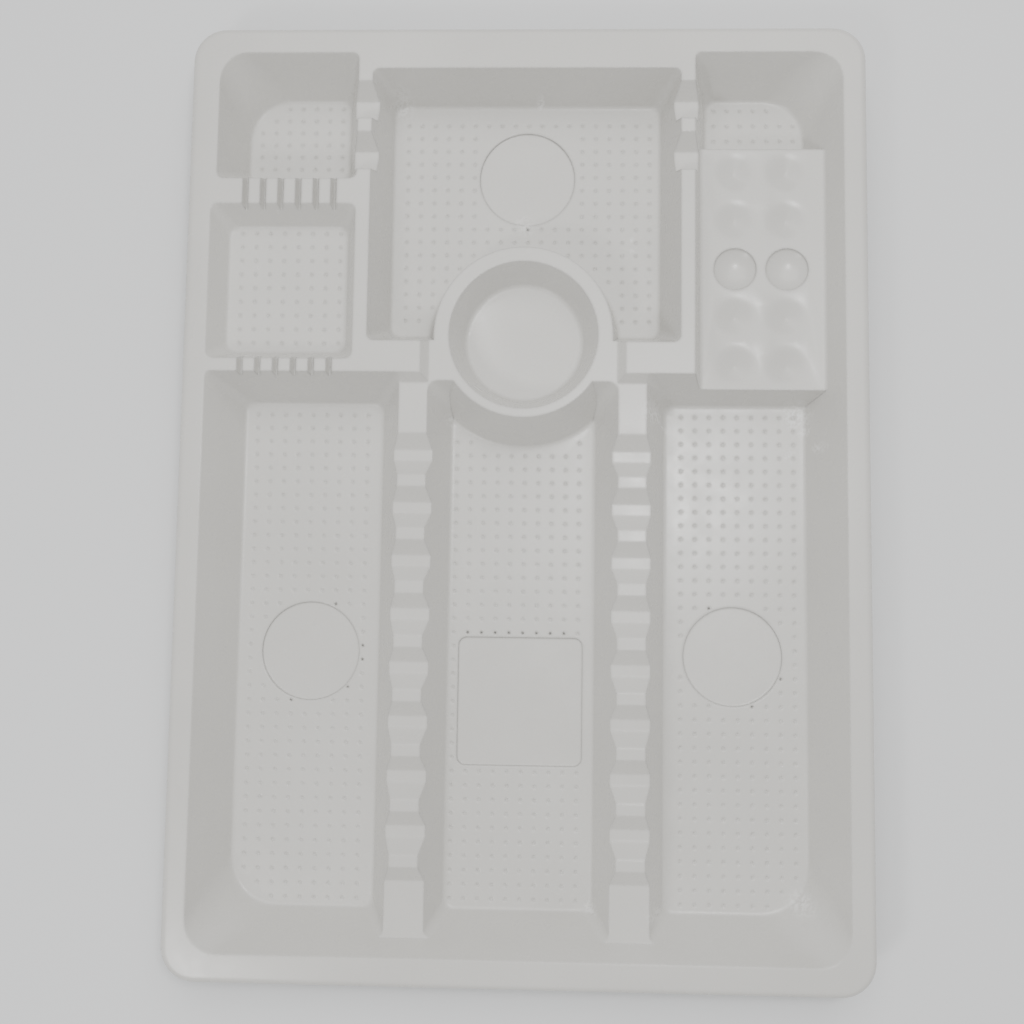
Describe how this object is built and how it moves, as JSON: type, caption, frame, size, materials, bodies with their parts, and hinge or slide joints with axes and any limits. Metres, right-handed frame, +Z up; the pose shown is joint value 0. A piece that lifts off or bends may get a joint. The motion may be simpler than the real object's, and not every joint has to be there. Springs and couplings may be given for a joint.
{
  "type": "compartment instrument tray",
  "caption": "Shallow thermoformed plastic tray with dimpled compartments, notched rails, a round cup and small wells that keep hand instruments sorted.",
  "frame": {"origin": "centre of the footprint, at the lowest face of the pads that the tray stands on", "axes": "+Z up out of the compartments; +Y along the length, from the instrument compartments to the rear compartment behind the cup; +X to the side with the wells"},
  "size_m": [0.202, 0.281, 0.018],
  "materials": {
    "sheet": "slightly glossy white polystyrene sheet"
  },
  "bodies": {
    "root": {"tray": "sheet"}
  },
  "joints": []
}
